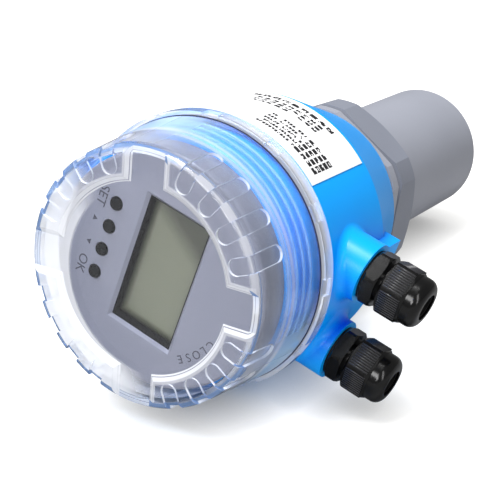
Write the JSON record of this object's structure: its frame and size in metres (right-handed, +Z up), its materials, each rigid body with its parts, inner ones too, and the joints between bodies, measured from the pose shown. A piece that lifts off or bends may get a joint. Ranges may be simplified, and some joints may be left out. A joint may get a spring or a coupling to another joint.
{
  "type": "water level indicator",
  "caption": "Ultrasonic water level indicator: grey probe with hex collar and nut, blue housing with cable glands, and a display with keys under a clear screw cover.",
  "frame": {"origin": "centre of the probe's flat face", "axes": "+Z up the instrument's axis from the probe to the display, +Y the way the cable glands leave, which is up on the display, and +X the way the display reads"},
  "size_m": [0.092, 0.1165, 0.2045],
  "materials": {
    "blue_abs": "satin moulding",
    "grey_polypropylene": "matte moulding",
    "clear_polycarbonate": "clear moulding",
    "display_glass": "reflective grey-green liquid crystal",
    "black_nylon": "satin moulding",
    "black_rubber": "matte",
    "black_key_plastic": "satin",
    "circuit_board": "solder resist",
    "switch_plastic": "matte",
    "brass": "turned",
    "steel": "zinc plated",
    "green_terminal_plastic": "matte moulding",
    "piezo_ceramic": "matte",
    "potting_compound": "cast",
    "white_vinyl": "printed film"
  },
  "bodies": {
    "meter": {"sensor_body": "grey_polypropylene", "piezo_disc": "piezo_ceramic", "potting": "potting_compound", "sensor_seal": "black_rubber", "sensor_lock_nut": "grey_polypropylene", "housing": "blue_abs", "bezel": "grey_polypropylene", "lcd_panel": "display_glass", "display_board": "circuit_board", "standoffs": "brass", "board_screws": "steel", "key_switches": "switch_plastic", "main_board": "circuit_board", "terminal_block": "green_terminal_plastic", "terminal_screws": "steel", "label": "white_vinyl", "gland_washer_left": "black_rubber", "gland_body_left": "black_nylon", "gland_washer_right": "black_rubber", "gland_body_right": "black_nylon"},
    "cover_seal": {"cover_seal": "black_rubber"},
    "cover": {"cover": "clear_polycarbonate"},
    "mount_gasket": {"mount_gasket": "black_rubber"},
    "mount_nut": {"mount_nut": "grey_polypropylene"},
    "key_set": {"key_set": "black_key_plastic"},
    "key_up": {"key_up": "black_key_plastic"},
    "key_down": {"key_down": "black_key_plastic"},
    "key_ok": {"key_ok": "black_key_plastic"},
    "gland_seal_left": {"gland_seal_left": "black_rubber"},
    "gland_nut_left": {"gland_nut_left": "black_nylon"},
    "gland_seal_right": {"gland_seal_right": "black_rubber"},
    "gland_nut_right": {"gland_nut_right": "black_nylon"}
  },
  "joints": [
    {"name": "cover_lift", "type": "slide", "parent": "meter", "child": "cover_seal", "axis": [0, 0, 1], "range_m": [0, 0.0101]},
    {"name": "cover_turn", "type": "hinge", "parent": "cover_seal", "child": "cover", "pos_m": [0, 0, 0.18], "axis": [0, 0, 1], "range_deg": [0, 900]},
    {"name": "mount_nut_travel", "type": "slide", "parent": "meter", "child": "mount_gasket", "axis": [0, 0, -1], "range_m": [0, 0.0161]},
    {"name": "mount_nut_turn", "type": "hinge", "parent": "mount_gasket", "child": "mount_nut", "pos_m": [0, 0, 0.082], "axis": [0, 0, -1], "range_deg": [0, 2880]},
    {"name": "gland_left_travel", "type": "slide", "parent": "meter", "child": "gland_seal_left", "axis": [0, 1, 0], "range_m": [0, 0.007]},
    {"name": "gland_left_turn", "type": "hinge", "parent": "gland_seal_left", "child": "gland_nut_left", "pos_m": [-0.015, 0.06, 0.151], "axis": [0, 1, 0], "range_deg": [0, 1810]},
    {"name": "gland_right_travel", "type": "slide", "parent": "meter", "child": "gland_seal_right", "axis": [0, 1, 0], "range_m": [0, 0.007]},
    {"name": "gland_right_turn", "type": "hinge", "parent": "gland_seal_right", "child": "gland_nut_right", "pos_m": [0.015, 0.06, 0.151], "axis": [0, 1, 0], "range_deg": [0, 1810]},
    {"name": "key_set_press", "type": "slide", "parent": "meter", "child": "key_set", "axis": [0, 0, -1], "range_m": [0, 0.0008], "stiffness_N_per_m": 400, "springref_m": -0.0005},
    {"name": "key_up_press", "type": "slide", "parent": "meter", "child": "key_up", "axis": [0, 0, -1], "range_m": [0, 0.0008], "stiffness_N_per_m": 400, "springref_m": -0.0005},
    {"name": "key_down_press", "type": "slide", "parent": "meter", "child": "key_down", "axis": [0, 0, -1], "range_m": [0, 0.0008], "stiffness_N_per_m": 400, "springref_m": -0.0005},
    {"name": "key_ok_press", "type": "slide", "parent": "meter", "child": "key_ok", "axis": [0, 0, -1], "range_m": [0, 0.0008], "stiffness_N_per_m": 400, "springref_m": -0.0005}
  ],
  "couplings": [
    {"joint": "cover_lift", "follows": "cover_turn", "m_per_rad": 0.00063662},
    {"joint": "mount_nut_travel", "follows": "mount_nut_turn", "m_per_rad": 0.00031831},
    {"joint": "gland_left_turn", "follows": "gland_left_travel", "rad_per_m": 4488},
    {"joint": "gland_right_turn", "follows": "gland_right_travel", "rad_per_m": 4488}
  ]
}
